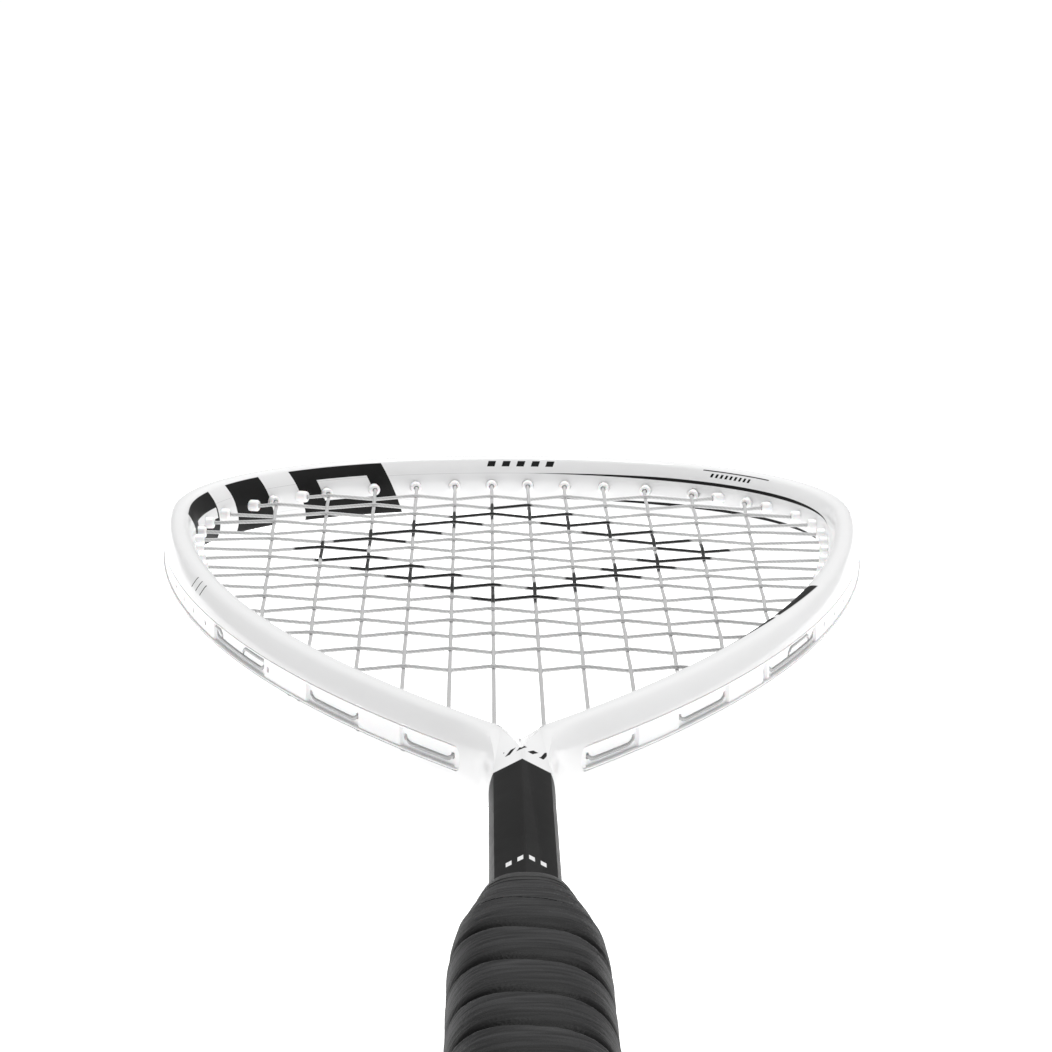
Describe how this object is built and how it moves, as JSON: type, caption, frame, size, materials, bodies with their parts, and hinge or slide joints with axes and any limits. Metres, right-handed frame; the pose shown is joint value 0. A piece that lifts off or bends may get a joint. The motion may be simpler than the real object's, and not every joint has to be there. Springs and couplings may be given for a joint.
{
  "type": "squash racket",
  "caption": "Teardrop-head squash racket: white hoop, throat and shaft in one moulding, woven string bed in grommet strips, wrapped oval handle.",
  "frame": {"origin": "centre of the butt cap's flat end face", "axes": "+Y along the racket to the tip of the head, +Z normal to the string plane, +X across the head"},
  "size_m": [0.2152, 0.686, 0.0316],
  "materials": {
    "frame_paint": "gloss white lacquer with plain black blocks over a moulded carbon fibre tube",
    "bumper_nylon": "satin white nylon",
    "grommet_nylon": "semi-gloss translucent white nylon",
    "string_nylon": "semi-gloss white multifilament with black ink on part of the bed",
    "cap_plastic": "satin black",
    "staple_wire": "galvanised wire",
    "shell_foam": "moulded rigid foam",
    "grip_wrap": "dark grey tacky polyurethane wrap with fine creases",
    "collar_rubber": "satin black rubber"
  },
  "bodies": {
    "root": {"frame": "frame_paint", "head_bumper": "bumper_nylon", "grommet_strip_left": "grommet_nylon", "grommet_strip_right": "grommet_nylon", "main_string_01": "string_nylon", "main_string_02": "string_nylon", "main_string_03": "string_nylon", "main_string_04": "string_nylon", "main_string_05": "string_nylon", "main_string_06": "string_nylon", "main_string_07": "string_nylon", "main_string_08": "string_nylon", "main_string_09": "string_nylon", "main_string_10": "string_nylon", "main_string_11": "string_nylon", "main_string_12": "string_nylon", "cross_string_01": "string_nylon", "cross_string_02": "string_nylon", "cross_string_03": "string_nylon", "cross_string_04": "string_nylon", "cross_string_05": "string_nylon", "cross_string_06": "string_nylon", "cross_string_07": "string_nylon", "cross_string_08": "string_nylon", "cross_string_09": "string_nylon", "cross_string_10": "string_nylon", "cross_string_11": "string_nylon", "cross_string_12": "string_nylon", "cross_string_13": "string_nylon", "cross_string_14": "string_nylon", "cross_string_15": "string_nylon", "cross_string_16": "string_nylon", "cross_string_17": "string_nylon", "butt_cap": "cap_plastic", "cap_staple_upper": "staple_wire", "cap_staple_lower": "staple_wire", "handle_shell_upper": "shell_foam", "handle_shell_lower": "shell_foam", "grip": "grip_wrap", "grip_collar": "collar_rubber"}
  },
  "joints": []
}
